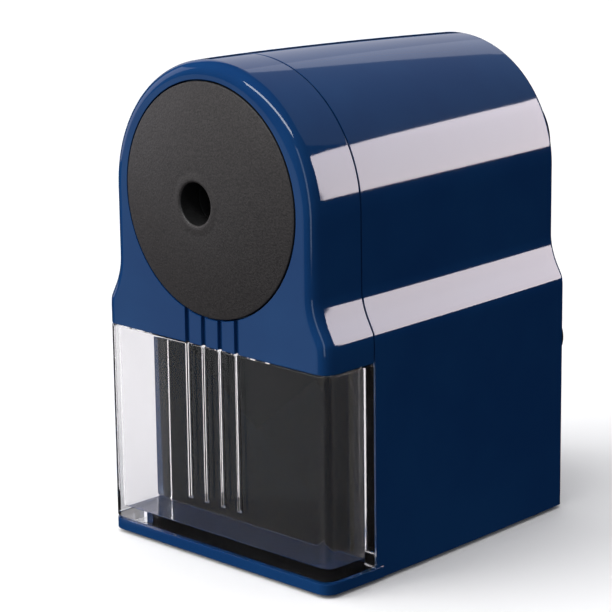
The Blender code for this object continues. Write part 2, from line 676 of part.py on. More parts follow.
def make_rear_bush(brass):
    flange = BACK_INNER_Y - CLEAR
    bore = SHAFT_RADIUS + CLEAR
    profile = [
        (bore, flange - BUSH_FLANGE_THICK),
        (BUSH_FLANGE, flange - BUSH_FLANGE_THICK),
        (BUSH_FLANGE, flange),
        (BUSH_RADIUS, flange),
        (BUSH_RADIUS, BACK_Y),
        (bore, BACK_Y),
    ]
    return turned("rear_bush", profile, brass, (0, 0, AXIS_Z))


def make_thrust_washer(nylon):
    bore = SHAFT_RADIUS + CLEAR
    start = BACK_Y + CLEAR
    profile = [(bore, start), (BUSH_FLANGE, start), (BUSH_FLANGE, start + WASHER_THICK), (bore, start + WASHER_THICK)]
    return turned("thrust_washer", profile, nylon, (0, 0, AXIS_Z))


def arm_section(y, growth):
    """Outline of the arm: the hub's circle and the end's circle, with straight sides between them."""
    hub = HUB_RADIUS - HUB_ROUND / 2 + growth
    end = ARM_END_RADIUS + growth
    lean = math.asin((hub - end) / CRANK_THROW)
    top = arc((0, 0), hub, -lean, math.pi + lean, ARM_HUB_STEPS)
    bottom = arc((0, -CRANK_THROW), end, math.pi + lean, math.tau - lean, ARM_END_STEPS)
    return [(x, y, z) for x, z in top + bottom]


def make_crank_arm(black):
    sections = [
        arm_section(ARM_FRONT_Y, -ARM_EDGE),
        arm_section(ARM_FRONT_Y + ARM_EDGE, 0.0),
        arm_section(ARM_BACK_Y - ARM_EDGE, 0.0),
        arm_section(ARM_BACK_Y, -ARM_EDGE),
    ]
    arm = loft("crank_arm", sections, black, (0, 0, AXIS_Z))
    corner = (HUB_RADIUS - HUB_ROUND, HUB_BACK_Y - HUB_ROUND)
    rim = arc(corner, HUB_ROUND, 0, math.pi / 2, FILLET_STEPS)
    hub = [(0, HUB_FRONT_Y), (HUB_RADIUS - ARM_EDGE, HUB_FRONT_Y), (HUB_RADIUS, HUB_FRONT_Y + ARM_EDGE)]
    join(arm, turned("crank_hub", hub + rim + [(0, HUB_BACK_Y)], black, (0, 0, AXIS_Z), FINE_ROUND))
    bore = CRANK_SCREW_RADIUS + CLEAR
    socket = [
        (0, HUB_FRONT_Y - CLEAR),
        (SHAFT_RADIUS + CLEAR, HUB_FRONT_Y - CLEAR),
        (SHAFT_RADIUS + CLEAR, SOCKET_END_Y),
        (bore, SOCKET_END_Y),
        (bore, HUB_WEB_Y),
        (CAP_RADIUS + CLEAR, HUB_WEB_Y),
        (CAP_RADIUS + CLEAR, HUB_BACK_Y + CLEAR),
        (0, HUB_BACK_Y + CLEAR),
    ]
    cut(arm, turned("hub_socket", socket, black, (0, 0, AXIS_Z)))
    pin_start = ARM_BACK_Y - KNOB_PIN_DEPTH - CLEAR
    pin_place = (0, 0, KNOB_Z)
    cut(arm, rod("knob_pin_hole", KNOB_PIN_RADIUS + CLEAR, pin_start, KNOB_FRONT_Y, black, pin_place))
    return arm


def make_crank_screw(steel):
    head_front = HUB_WEB_Y + CLEAR
    head_back = head_front + SCREW_HEAD_THICK
    profile = [
        (0, HUB_WEB_Y - CRANK_SCREW_LENGTH),
        (CRANK_SCREW_RADIUS, HUB_WEB_Y - CRANK_SCREW_LENGTH),
        (CRANK_SCREW_RADIUS, head_front),
        (CRANK_SCREW_HEAD, head_front),
        (CRANK_SCREW_HEAD, head_back),
        (0, head_back),
    ]
    screw = turned("crank_screw", profile, steel, (0, 0, AXIS_Z), SMALL_ROUND)
    cut_cross(screw, "crank_screw", 0, head_back, AXIS_Z, CRANK_SCREW_HEAD)
    return screw


def cut_cross(screw, name, x, y, z, head):
    """A cross-shaped recess in a screw head that faces +Y."""
    long = head * SLOT_REACH
    short = SLOT_WIDTH / 2
    quarter = [(long, -short), (long, short), (short, short)]
    outline = []
    for turn in range(4):
        across = math.cos(math.pi / 2 * turn)
        down = math.sin(math.pi / 2 * turn)
        outline += [(a * across - b * down, a * down + b * across) for a, b in quarter]
    sections = [[(x + a, y + depth, z + b) for a, b in outline] for depth in (-SLOT_WIDTH, SLOT_WIDTH)]
    cut(screw, loft(f"{name}_recess", sections, screw.data.materials[0], smooth=False))


def make_hub_cap(black):
    front = HUB_BACK_Y + CLEAR - CAP_THICK
    profile = [(0, front), (CAP_RADIUS, front)]
    for i in range(7):
        share = 1 - i / 6
        profile.append((CAP_RADIUS * share, HUB_BACK_Y + CAP_PROUD * (1 - share**2)))
    return turned("hub_cap", profile, black, (0, 0, AXIS_Z), FINE_ROUND)


def make_knob(black):
    head_front = KNOB_BACK_Y - KNOB_PIN_HEAD_THICK - CLEAR
    bore = KNOB_PIN_RADIUS + CLEAR
    recess = KNOB_PIN_HEAD + CLEAR
    waist = (KNOB_FRONT_Y + KNOB_BACK_Y) / 2
    corner = (KNOB_RADIUS - KNOB_ROUND, KNOB_BACK_Y - KNOB_ROUND)
    end = [p for p in arc(corner, KNOB_ROUND, 0, math.pi / 2, FILLET_STEPS) if p[0] > recess + CLEAR]
    profile = [(bore, KNOB_FRONT_Y), (KNOB_NECK - KNOB_NECK_ROUND, KNOB_FRONT_Y)]
    profile += [(KNOB_NECK, KNOB_FRONT_Y + KNOB_NECK_ROUND), (KNOB_NECK + CLEAR, KNOB_FRONT_Y + KNOB_NECK_LENGTH)]
    profile += [(KNOB_RADIUS - CLEAR, waist), (KNOB_RADIUS, waist + KNOB_NECK_LENGTH)]
    profile += end + [(recess, KNOB_BACK_Y), (recess, head_front), (bore, head_front)]
    return turned("knob", profile, black, (0, 0, KNOB_Z))


def make_knob_pin(steel):
    start = ARM_BACK_Y - KNOB_PIN_DEPTH
    head_front = KNOB_BACK_Y - KNOB_PIN_HEAD_THICK
    profile = [(0, start), (KNOB_PIN_RADIUS, start), (KNOB_PIN_RADIUS, head_front), (KNOB_PIN_HEAD, head_front)]
    for i in range(5):
        share = 1 - i / 4
        rise = (1 - share**2) * KNOB_PIN_HEAD_THICK / 2
        profile.append((KNOB_PIN_HEAD * share, KNOB_BACK_Y - KNOB_PIN_HEAD_THICK / 2 - CLEAR + rise))
    return turned("knob_pin", profile, steel, (0, 0, KNOB_Z), SMALL_ROUND)


def make_gear_screws(steel):
    for number, (x, z) in enumerate(post_places(), 1):
        head_front = -SCREW_HEAD_THICK
        profile = [
            (0, head_front - SCREW_LENGTH),
            (SCREW_RADIUS, head_front - SCREW_LENGTH + SCREW_RADIUS),
            (SCREW_RADIUS, head_front),
            (SCREW_HEAD, head_front),
            (SCREW_HEAD, head_front + SCREW_HEAD_THICK / 2),
            (SCREW_HEAD - CLEAR, 0),
            (0, 0),
        ]
        name = f"gear_screw_{number}"
        screw = turned(name, profile, steel, (x, BACK_Y, z), SMALL_ROUND)
        cut_cross(screw, name, x, BACK_Y, z, SCREW_HEAD)


# ---- Drawer ----------------------------------------------------------------------------------------
def make_drawer(smoke):
    """A tray open at the top: a full-width part in front of the seam and a narrower part behind it."""
    back = FRONT_Y + DRAWER_LENGTH
    step_y = SEAM_Y - SLIDE_GAP
    inner_half = LOWER_HALF - taper_at(back) - SHELL_WALL - SLIDE_GAP
    bottom = FLOOR_TOP + DRAWER_LIFT
    wide = front_plan(step_y)
    middle = len(wide) // 2
    outline = wide[:middle] + [(inner_half, step_y), (inner_half, back)]
    outline += [(-inner_half, back), (-inner_half, step_y)] + wide[middle:]
    corner = DRAWER_CORNER - DRAWER_WALL
    side = LOWER_HALF - DRAWER_WALL
    front = FRONT_Y + DRAWER_FRONT_WALL
    hollow = arc((side - corner, front + corner), corner, -math.pi / 2, 0, FILLET_STEPS)
    hollow += [(side, step_y - DRAWER_WALL), (inner_half - DRAWER_WALL, step_y - DRAWER_WALL)]
    hollow += [(inner_half - DRAWER_WALL, back - DRAWER_WALL)]
    hollow += [(-x, y) for x, y in reversed(hollow)]
    drawer = prism("chip_drawer", outline, bottom, DRAWER_TOP, smoke)
    cut(drawer, prism("drawer_hollow", hollow, bottom + DRAWER_FLOOR, DRAWER_TOP + CLEAR, smoke))
    for number, x in enumerate(groove_places(), 1):
        low = (x - GROOVE_WIDTH / 2, FRONT_Y - GROOVE_DEPTH, GROOVE_BOTTOM)
        high = (x + GROOVE_WIDTH / 2, FRONT_Y + GROOVE_DEPTH, DRAWER_TOP + CLEAR)
        cut(drawer, box(f"drawer_groove_{number}", low, high, smoke))
    return drawer


def main():
    for old in list(bpy.data.objects):
        bpy.data.objects.remove(old)
    blue = finish("navy_gloss_plastic", (0.012, 0.055, 0.175), 0.18)
    smoke = finish("smoke_clear_plastic", (0.10, 0.12, 0.14), 0.08, alpha=0.45)
    dark = finish("dark_grained_plastic", (0.060, 0.052, 0.052), 0.55)
    black = finish("black_gloss_plastic", (0.012, 0.012, 0.014), 0.25)
    guide = finish("black_plastic", (0.02, 0.02, 0.02), 0.5)
    grey = finish("grey_gear_plastic", (0.35, 0.35, 0.36), 0.45)
    cast = finish("die_cast_metal", (0.45, 0.45, 0.46), 0.45, metallic=0.9)
    steel = finish("bright_steel", (0.62, 0.62, 0.63), 0.25, metallic=1.0)
    blade = finish("cutter_steel", (0.35, 0.35, 0.37), 0.3, metallic=1.0)
    brass = finish("sintered_bronze", (0.45, 0.30, 0.14), 0.4, metallic=1.0)
    nylon = finish("white_nylon", (0.75, 0.74, 0.70), 0.5)
    rubber = finish("black_rubber", (0.015, 0.015, 0.015), 0.85)
    make_housing(blue)
    make_feet(rubber)
    make_front_cover(blue)
    make_front_disc(dark)
    make_pencil_guide(guide)
    make_drawer(smoke)
    make_ring_gear(grey)
    make_gear_screws(steel)
    make_carrier(cast)
    make_cutter(blade)
    make_pinion(steel)
    make_cutter_pin(steel)
    make_crank_shaft(steel)
    make_rear_bush(brass)
    make_thrust_washer(nylon)
    make_crank_arm(black)
    make_crank_screw(steel)
    make_hub_cap(black)
    make_knob(black)
    make_knob_pin(steel)


main()
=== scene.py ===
"""Looks of a hand-crank desk pencil sharpener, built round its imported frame. Metres, +Z up."""

import json
import math

import bmesh
import bpy
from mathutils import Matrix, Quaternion, Vector

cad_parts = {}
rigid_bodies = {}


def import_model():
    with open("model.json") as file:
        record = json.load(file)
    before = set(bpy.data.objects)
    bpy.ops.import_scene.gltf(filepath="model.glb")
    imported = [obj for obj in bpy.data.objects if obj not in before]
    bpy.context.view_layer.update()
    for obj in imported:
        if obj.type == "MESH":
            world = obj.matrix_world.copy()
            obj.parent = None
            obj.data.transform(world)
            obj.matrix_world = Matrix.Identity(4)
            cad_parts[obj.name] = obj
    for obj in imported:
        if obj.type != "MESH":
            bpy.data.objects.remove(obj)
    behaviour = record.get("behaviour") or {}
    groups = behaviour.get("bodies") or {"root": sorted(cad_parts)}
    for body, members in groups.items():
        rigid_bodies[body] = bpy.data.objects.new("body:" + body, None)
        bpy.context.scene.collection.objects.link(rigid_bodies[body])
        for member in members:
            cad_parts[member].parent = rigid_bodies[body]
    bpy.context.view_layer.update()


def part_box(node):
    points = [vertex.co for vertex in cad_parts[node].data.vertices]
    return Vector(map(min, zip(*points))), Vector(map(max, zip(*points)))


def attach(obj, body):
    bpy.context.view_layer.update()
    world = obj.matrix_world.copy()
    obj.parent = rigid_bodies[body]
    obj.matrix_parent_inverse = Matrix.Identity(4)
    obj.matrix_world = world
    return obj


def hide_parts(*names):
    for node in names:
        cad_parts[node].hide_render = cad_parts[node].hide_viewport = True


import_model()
bpy.ops.object.select_all(action="DESELECT")

# ---- Places read from the frame --------------------------------------------------------------------
BODY_LOW, BODY_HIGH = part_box("housing")
COVER_LOW, COVER_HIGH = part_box("front_cover")
DISC_LOW, DISC_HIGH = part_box("front_disc")
GUIDE_LOW, GUIDE_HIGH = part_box("pencil_guide")
TRAY_LOW, TRAY_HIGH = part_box("chip_drawer")
ARM_LOW, ARM_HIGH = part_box("crank_arm")
CAP_LOW, CAP_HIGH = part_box("hub_cap")
KNOB_LOW, KNOB_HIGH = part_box("knob")
PIN_LOW, PIN_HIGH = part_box("knob_pin")

GAP = 0.0003  # left between pieces that touch
TINY = 0.00002  # two places closer than this are the same
FRONT_Y = COVER_LOW.y
BACK_Y = BODY_HIGH.y
SEAM_Y = COVER_HIGH.y + GAP
LOWER_HALF = BODY_HIGH.x
TOP_Z = COVER_HIGH.z
AXIS_Z = (DISC_LOW.z + DISC_HIGH.z) / 2
KNOB_Z = (KNOB_LOW.z + KNOB_HIGH.z) / 2

# ---- Housing and front cover -----------------------------------------------------------------------
ARCH_RADIUS = 0.0300
ARCH_Z = TOP_Z - ARCH_RADIUS
SHOULDER_TOP = 0.0635
SHOULDER_BOTTOM = 0.0515
SHELL_WALL = 0.0022
FRONT_WALL = 0.0030
BACK_WALL = 0.0026
FLOOR_TOP = 0.0032
TAPER = 0.0030
TAPER_POWER = 1.5
FRONT_FILLET = 0.0030
BACK_FILLET = 0.0016
TONGUE_LENGTH = 0.0022
TONGUE_INSET = 0.0013
REBATE_WALL = 0.0010
SILL_CORNER = 0.0030
ARCH_POINTS = 48  # in each quarter of the arch's circle
SHOULDER_POINTS = 20
LONG_STEPS = 10

FEET = ["foot_front_left", "foot_front_right", "foot_back_left", "foot_back_right"]
GEAR_SCREWS = ["gear_screw_1", "gear_screw_2", "gear_screw_3"]
GROOVE_PLACES = [-0.0075, -0.0025, 0.0025, 0.0075]
GROOVE_WIDTH = 0.0012
GROOVE_DEPTH = 0.0008
GROOVE_BOTTOM = 0.0134
GUIDE_SPIGOT = 0.0087
BUSH_HOLE = 0.0053
SCREW_HOLE = 0.0015
SCREW_SEAT = 0.0031
FOOT_SEAT = 0.0053
FOOT_SEAT_TOP = 0.0017

# ---- Disc, guide, drawer, crank and fittings -------------------------------------------------------
HOLE_RADIUS = 0.0045
COLLAR_RADIUS = 0.0064
LIP_ROUND = 0.0004
LIP_DROP = 0.00025  # lip's top to the foot of the dome
RIM_PROUD = 0.0001
DISC_RIM = 0.0011  # the disc's thickness at its rim
DISC_SKIN = 0.0014  # and at its collar
DOME_POWER = 1.6
DOME_STEPS = 28
GUIDE_FLANGE_THICK = 0.0017
GUIDE_SLEEVE = 0.0070
GUIDE_BORE = 0.0041
GUIDE_FUNNEL = 0.0050  # its length, from the front
DRAWER_WALL = 0.0018
DRAWER_FRONT_WALL = 0.0022
DRAWER_FLOOR = 0.0022
DRAWER_INNER_HALF = 0.0289
DRAWER_STEP_Y = SEAM_Y - 0.0005
HUB_RADIUS = ARM_HIGH.x
HUB_ROUND = 0.0022
HUB_SOCKET = 0.0096
HUB_WEB = 0.0015
ARM_EDGE = 0.0010
ARM_FRONT_Y = ARM_LOW.y + 0.0016
ARM_BACK_Y = ARM_FRONT_Y + 0.0060
ARM_END_RADIUS = KNOB_Z - ARM_LOW.z
SHAFT_RADIUS = 0.0030
CRANK_SCREW_RADIUS = 0.0016
CAP_RADIUS = CAP_HIGH.x
CAP_PROUD = 0.0015
CAP_STEPS = 10
KNOB_NECK = 0.0052
KNOB_NECK_LENGTH = 0.0030
KNOB_NECK_ROUND = 0.0005
KNOB_ROUND = 0.0024
PIN_RADIUS = 0.0021
PIN_HEAD_THICK = 0.0021
PIN_DEPTH = 0.0048
PIN_STEPS = 8
FOOT_RIM = 0.28  # of the foot's radius
FOOT_STEP = 0.3  # of the foot's radius
FOOT_HOLLOW = 0.0003
SCREW_SHANK = 0.0012
SCREW_POINT = 0.2  # of the shank's radius
SCREW_HEAD_THICK = 0.0012
SCREW_CROWN = 0.6  # of the head's thickness
CROSS_WIDTH = 0.0007
CROSS_REACH = 0.6  # of the screw head's radius
BUSH_BODY = 0.0050
BUSH_FLANGE_THICK = 0.0011

SOFT_EDGE = 0.0002  # how far most edges are rounded
FINE_EDGE = 0.00015
DRAWER_EDGE = 0.00025
FOOT_EDGE = 0.00022
SCREW_EDGE = 0.00008


# ---- Working by hand, in code ----------------------------------------------------------------------
def wake(piece):
    """Makes a piece the only one selected, and the active one."""
    bpy.ops.object.select_all(action="DESELECT")
    piece.select_set(True)
    bpy.context.view_layer.objects.active = piece


def keep_as(name):
    """Names the primitive just added and puts its place into its mesh."""
    piece = bpy.context.object
    bpy.ops.object.transform_apply(location=True, rotation=True, scale=True)
    piece.name = name
    piece.data.name = name
    return piece


def open_up(piece):
    """Goes into edit mode on a piece, with all of it selected."""
    wake(piece)
    bpy.ops.object.mode_set(mode="EDIT")
    bpy.ops.mesh.select_mode(type="VERT")
    bpy.ops.mesh.select_all(action="SELECT")


def close_up():
    """Turns every face outwards and leaves edit mode."""
    bpy.ops.mesh.select_all(action="SELECT")
    bpy.ops.mesh.normals_make_consistent(inside=False)
    bpy.ops.object.mode_set(mode="OBJECT")


def pick(kind, wanted):
    """In edit mode, selects only the vertices, edges or faces that pass a test."""
    bpy.ops.mesh.select_mode(type=kind)
    bpy.ops.mesh.select_all(action="DESELECT")
    mesh = bpy.context.edit_object.data
    bm = bmesh.from_edit_mesh(mesh)
    for thing in {"VERT": bm.verts, "EDGE": bm.edges, "FACE": bm.faces}[kind]:
        thing.select_set(wanted(thing))
    bm.select_flush_mode()
    bmesh.update_edit_mesh(mesh)


def middle(edge):
    return (edge.verts[0].co + edge.verts[1].co) / 2


def at_y(vert, y):
    return abs(vert.co.y - y) < TINY


def centre_of(node):
    low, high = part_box(node)
    return (low + high) / 2


def pull(x, y, z):
    """Extrudes what is selected."""
    bpy.ops.mesh.extrude_region_move(TRANSFORM_OT_translate={"value": (x, y, z)})


def shift(x, y, z):
    bpy.ops.transform.translate(value=(x, y, z))


def stretch(x, y, z, centre):
    bpy.ops.transform.resize(value=(x, y, z), center_override=centre)


def carve(piece, cutter, operation="DIFFERENCE", slot=0):
    """Cuts a second solid out of a piece, or joins it on, and throws the second one away."""
    for face in cutter.data.polygons:
        face.material_index = slot
    wake(piece)
    step = piece.modifiers.new("carve", "BOOLEAN")
    step.operation = operation
    step.object = cutter
    bpy.ops.object.modifier_apply(modifier=step.name)
    bpy.data.objects.remove(cutter)


def block(name, low, high):
    """A plain rectangular solid, as a start or a cutter."""
    low, high = Vector(low), Vector(high)
    bpy.ops.mesh.primitive_cube_add(size=1, location=(low + high) / 2, scale=high - low)
    return keep_as(name)


def rounded_block(name, low, high, corner, segments=10):
    """A block whose two upright front corners are round."""
    piece = block(name, low, high)
    open_up(piece)
    half = (low[2] + high[2]) / 2
    pick("EDGE", lambda edge: middle(edge).y < low[1] + TINY and abs(middle(edge).z - half) < TINY)
    bpy.ops.mesh.bevel(offset=corner, segments=segments, affect="EDGES")
    close_up()
    return piece


def ring(name, radius, place, around):
    """An open ring of edges about a line along Y."""
    upright = (math.pi / 2, 0, 0)
    bpy.ops.mesh.primitive_circle_add(vertices=around, radius=radius, location=place, rotation=upright)
    return keep_as(name)


def turned(name, profile, x=0.0, z=AXIS_Z, around=96, tube=False):
    """Pulls a ring from one (radius, y) point to the next, about a line along Y through x and z."""
    radius, y = profile[0]
    piece = ring(name, radius, (x, y, z), around)
    open_up(piece)
    for next_radius, next_y in profile[1:]:
        pull(0, next_y - y, 0)
        share = next_radius / radius
        stretch(share, 1, share, (x, next_y, z))
        radius, y = next_radius, next_y
    bpy.ops.mesh.select_mode(type="EDGE")
    if tube:
        bpy.ops.mesh.select_all(action="DESELECT")
        bpy.ops.mesh.select_non_manifold()
        bpy.ops.mesh.bridge_edge_loops()
    else:
        for place in (profile[0][1], profile[-1][1]):
            pick("EDGE", lambda edge: edge.is_boundary and abs(middle(edge).y - place) < TINY)
            bpy.ops.mesh.edge_face_add()
    close_up()
    return piece


def rod(name, radius, start, end, x=0.0, z=AXIS_Z, around=64):
    """A plain round solid along Y, as a start or a cutter."""
    return turned(name, [(radius, start), (radius, end)], x, z, around)


def post(name, radius, height, place, around):
    """A plain round solid along Z, as a start or a cutter."""
    bpy.ops.mesh.primitive_cylinder_add(vertices=around, radius=radius, depth=height, location=place)
    return keep_as(name)


def another(piece, name, x, y, z):
    """A copy of a piece with its own mesh, moved along."""
    wake(piece)
    bpy.ops.object.duplicate()
    bpy.context.object.location = (x, y, z)
    return keep_as(name)


def round_edges(piece, width, segments=3, angle=35):
    """Takes the sharpness off every edge that is sharper than an angle."""
    wake(piece)
    step = piece.modifiers.new("round", "BEVEL")
    step.width = width
    step.segments = segments
    step.limit_method = "ANGLE"
    step.angle_limit = math.radians(angle)
    bpy.ops.object.modifier_apply(modifier=step.name)


def settle(piece, finish, slot, body, *nodes, angle=35, inside=None):
    """Shades and paints a piece, and sets it on its body in place of the frame's own nodes."""
    wake(piece)
    bpy.ops.object.shade_smooth_by_angle(angle=math.radians(angle))
    step = piece.modifiers.new("flat_faces", "WEIGHTED_NORMAL")
    step.keep_sharp = True
    bpy.ops.object.modifier_apply(modifier=step.name)
    piece.data.materials.append(finish)
    # The second finish is painted shade for the faces in slot 1: the shell's insides, and the disc's rim
    # side and hole wall.
    if inside:
        piece.data.materials.append(inside)
    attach(piece, body)
    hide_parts(*nodes)


# ---- Finishes --------------------------------------------------------------------------------------
def start_finish(name, colour, roughness, metallic=0.0):
    """A material with its shader's plain values set, and its nodes ready for detail."""
    material = bpy.data.materials.new(name)
    material.use_nodes = True
    shader = material.node_tree.nodes["Principled BSDF"]
    shader.inputs["Base Color"].default_value = (*colour, 1)
    shader.inputs["Roughness"].default_value = roughness
    shader.inputs["Metallic"].default_value = metallic
    return material, shader


def add(material, kind, **values):
    """Adds a node and sets its named inputs and settings."""
    node = material.node_tree.nodes.new(f"ShaderNode{kind}")
    for name, value in values.items():
        if hasattr(node, name):
            setattr(node, name, value)
        else:
            node.inputs[name.replace("_", " ").title()].default_value = value
    return node


def join_up(material, start, end):
    material.node_tree.links.new(start, end)


def pattern_place(material, stretch_by=(1, 1, 1), centre=(0, 0, 0)):
    """The piece's own coordinates, centred and stretched for a pattern."""
    place = add(material, "TexCoord")
    to_centre = [-along * share for along, share in zip(centre, stretch_by)]
    mapping = add(material, "Mapping", Location=to_centre, Scale=stretch_by)
    join_up(material, place.outputs["Object"], mapping.inputs["Vector"])
    return mapping.outputs["Vector"]


def noise(material, scale, detail=4.0, rough=0.55, place=None):
    node = add(material, "TexNoise", Scale=scale, Detail=detail, Roughness=rough)
    join_up(material, place or pattern_place(material), node.inputs["Vector"])
    return node.outputs["Fac"]


def vary_colour(material, shader, value, dark, light, start=0.35, end=0.65):
    ramp = add(material, "ValToRGB")
    ramp.color_ramp.elements[0].position = start
    ramp.color_ramp.elements[0].color = (*dark, 1)
    ramp.color_ramp.elements[1].position = end
    ramp.color_ramp.elements[1].color = (*light, 1)
    join_up(material, value, ramp.inputs["Fac"])
    join_up(material, ramp.outputs["Color"], shader.inputs["Base Color"])


def vary_roughness(material, shader, value, low, high):
    span = add(material, "MapRange")
    span.inputs["From Min"].default_value = 0.3
    span.inputs["From Max"].default_value = 0.7
    span.inputs["To Min"].default_value = low
    span.inputs["To Max"].default_value = high
    join_up(material, value, span.inputs["Value"])
    join_up(material, span.outputs["Result"], shader.inputs["Roughness"])


def relief(material, shader, *layers):
    """Stacks bumps: each layer is a value, a strength and a height in metres."""
    before = None
    for value, strength, height in layers:
        bump = add(material, "Bump", Strength=strength, Distance=height)
        join_up(material, value, bump.inputs["Height"])
        if before:
            join_up(material, before, bump.inputs["Normal"])
        before = bump.outputs["Normal"]
    join_up(material, before, shader.inputs["Normal"])


def rings(material, scale, centre):
    """Fine turned rings about a line along Y through a place."""
    node = add(material, "TexWave", wave_type="RINGS", rings_direction="Y", Scale=scale, Distortion=0.4)
    join_up(material, pattern_place(material, centre=centre), node.inputs["Vector"])
    return node.outputs["Fac"]


def navy_gloss():
    material, shader = start_finish("navy_gloss_plastic", (0.008, 0.045, 0.150), 0.05)
    shader.inputs["IOR"].default_value = 1.5
    vary_colour(material, shader, noise(material, 45, 3), (0.0072, 0.041, 0.142), (0.0088, 0.049, 0.158))
    vary_roughness(material, shader, noise(material, 900, 5, 0.7), 0.035, 0.075)
    waves = noise(material, 38, 1, 0.3)
    texture = noise(material, 5200, 3, 0.6)
    relief(material, shader, (waves, 0.25, 0.00006), (texture, 0.06, 0.000004))
    return material


# Near-black on the shell's inner faces is painted shade: the shell is navy all through, and its inside
# is dark only from shade.
def shell_inside_painted_shade():
    material, shader = start_finish("inside_wall_painted_shade", (0.006, 0.008, 0.012), 0.5)
    vary_colour(material, shader, noise(material, 70, 4), (0.005, 0.007, 0.011), (0.007, 0.009, 0.013))
    vary_roughness(material, shader, noise(material, 1400, 4), 0.42, 0.6)
    shader.inputs["Specular IOR Level"].default_value = 0.1
    relief(material, shader, (noise(material, 2600, 4), 0.35, 0.00003))
    return material


def grained_dark():
    material, shader = start_finish("grained_dark_plastic", (0.045, 0.041, 0.041), 0.5)
    grain = noise(material, 2600, 2, 0.5)
    vary_colour(material, shader, grain, (0.034, 0.031, 0.031), (0.056, 0.051, 0.050))
    vary_roughness(material, shader, noise(material, 1500, 4), 0.40, 0.58)
    relief(material, shader, (noise(material, 60, 2), 0.15, 0.0001), (grain, 0.85, 0.00009))
    return material


def smoke_clear():
    material, shader = start_finish("smoke_clear_plastic", (0.90, 0.89, 0.91), 0.015)
    shader.inputs["Transmission Weight"].default_value = 0.994
    shader.inputs["IOR"].default_value = 1.22
    vary_colour(material, shader, noise(material, 30, 3), (0.845, 0.835, 0.845), (0.875, 0.865, 0.875))
    scuffs = noise(material, 600, 6, 0.75, pattern_place(material, (1, 1, 0.12)))
    vary_roughness(material, shader, scuffs, 0.004, 0.03)
    relief(material, shader, (noise(material, 42, 1, 0.3), 0.2, 0.00005))
    return material


def black_gloss():
    material, shader = start_finish("black_gloss_plastic", (0.010, 0.010, 0.011), 0.16)
    vary_colour(material, shader, noise(material, 80, 4), (0.008, 0.008, 0.009), (0.013, 0.013, 0.014))
    vary_roughness(material, shader, noise(material, 1100, 5, 0.7), 0.12, 0.24)
    waves = noise(material, 55, 2)
    texture = noise(material, 3000, 3)
    relief(material, shader, (waves, 0.2, 0.00005), (texture, 0.15, 0.00001))
    return material


# Black matt plastic: the guide's own colour, and painted shade on the disc's rim side and hole wall.
def matt_black_and_painted_shade():
    material, shader = start_finish("matt_black_plastic_and_painted_shade", (0.012, 0.012, 0.012), 0.6)
    vary_colour(material, shader, noise(material, 160, 4), (0.009, 0.009, 0.009), (0.016, 0.016, 0.016))
    vary_roughness(material, shader, noise(material, 900, 4), 0.5, 0.7)
    relief(material, shader, (noise(material, 2400, 3), 0.6, 0.00005))
    return material


def foot_rubber():
    material, shader = start_finish("foot_rubber", (0.020, 0.019, 0.019), 0.85)
    dust = noise(material, 420, 6, 0.75)
    vary_colour(material, shader, dust, (0.016, 0.015, 0.015), (0.045, 0.043, 0.041))
    vary_roughness(material, shader, noise(material, 1200, 4), 0.75, 0.95)
    relief(material, shader, (noise(material, 3200, 3), 0.8, 0.00008))
    return material


def grey_acetal():
    material, shader = start_finish("grey_acetal", (0.27, 0.28, 0.29), 0.42)
    graphite = noise(material, 240, 6, 0.7)
    vary_colour(material, shader, graphite, (0.19, 0.195, 0.20), (0.30, 0.31, 0.32), 0.3, 0.6)
    vary_roughness(material, shader, noise(material, 900, 4), 0.34, 0.52)
    relief(material, shader, (noise(material, 1900, 3), 0.3, 0.00003))
    return material


def cast_metal():
    material, shader = start_finish("cast_zinc", (0.42, 0.42, 0.43), 0.45, 1.0)
    vary_colour(material, shader, noise(material, 180, 6, 0.7), (0.30, 0.30, 0.31), (0.50, 0.50, 0.51))
    vary_roughness(material, shader, noise(material, 700, 5, 0.7), 0.36, 0.6)
    relief(material, shader, (noise(material, 950, 5, 0.65), 0.5, 0.0001))
    return material


def turned_steel(name, centre):
    """Bright steel with fine rings from the lathe about its own axis."""
    material, shader = start_finish(name, (0.58, 0.58, 0.60), 0.28, 1.0)
    lines = rings(material, 2400, centre)
    vary_colour(material, shader, noise(material, 260, 5), (0.48, 0.48, 0.50), (0.64, 0.64, 0.66))
    vary_roughness(material, shader, lines, 0.20, 0.34)
    relief(material, shader, (lines, 0.25, 0.00002), (noise(material, 2200, 3), 0.15, 0.00001))
    return material


def cutter_steel():
    material, shader = start_finish("hardened_cutter_steel", (0.36, 0.36, 0.38), 0.3, 1.0)
    heat = noise(material, 150, 5, 0.65)
    vary_colour(material, shader, heat, (0.25, 0.245, 0.25), (0.44, 0.44, 0.46))
    ground = noise(material, 1600, 4, 0.7, pattern_place(material, (1, 0.08, 1)))
    vary_roughness(material, shader, ground, 0.2, 0.42)
    relief(material, shader, (ground, 0.35, 0.00003))
    return material


def sintered_bronze():
    material, shader = start_finish("sintered_bronze", (0.50, 0.31, 0.13), 0.45, 1.0)
    vary_colour(material, shader, noise(material, 500, 5, 0.7), (0.32, 0.19, 0.08), (0.56, 0.36, 0.16))
    pores = noise(material, 4200, 3, 0.6)
    vary_roughness(material, shader, pores, 0.35, 0.62)
    relief(material, shader, (pores, 0.6, 0.00004))
    return material


def white_nylon():
    material, shader = start_finish("white_nylon", (0.66, 0.64, 0.57), 0.4)
    shader.inputs["Subsurface Weight"].default_value = 0.1
    shader.inputs["Subsurface Radius"].default_value = (0.0008, 0.0007, 0.0005)
    vary_colour(material, shader, noise(material, 320, 5), (0.58, 0.56, 0.49), (0.72, 0.70, 0.64))
    vary_roughness(material, shader, noise(material, 1300, 4), 0.32, 0.5)
    relief(material, shader, (noise(material, 2100, 3), 0.3, 0.00003))
    return material


# ---- Housing and front cover -----------------------------------------------------------------------
def taper_at(y):
    """How far the body's sides and top have drawn in at a place along it."""
    share = max(0.0, y - FRONT_Y - FRONT_FILLET) / (BACK_Y - FRONT_Y - FRONT_FILLET)
    return TAPER * share**TAPER_POWER


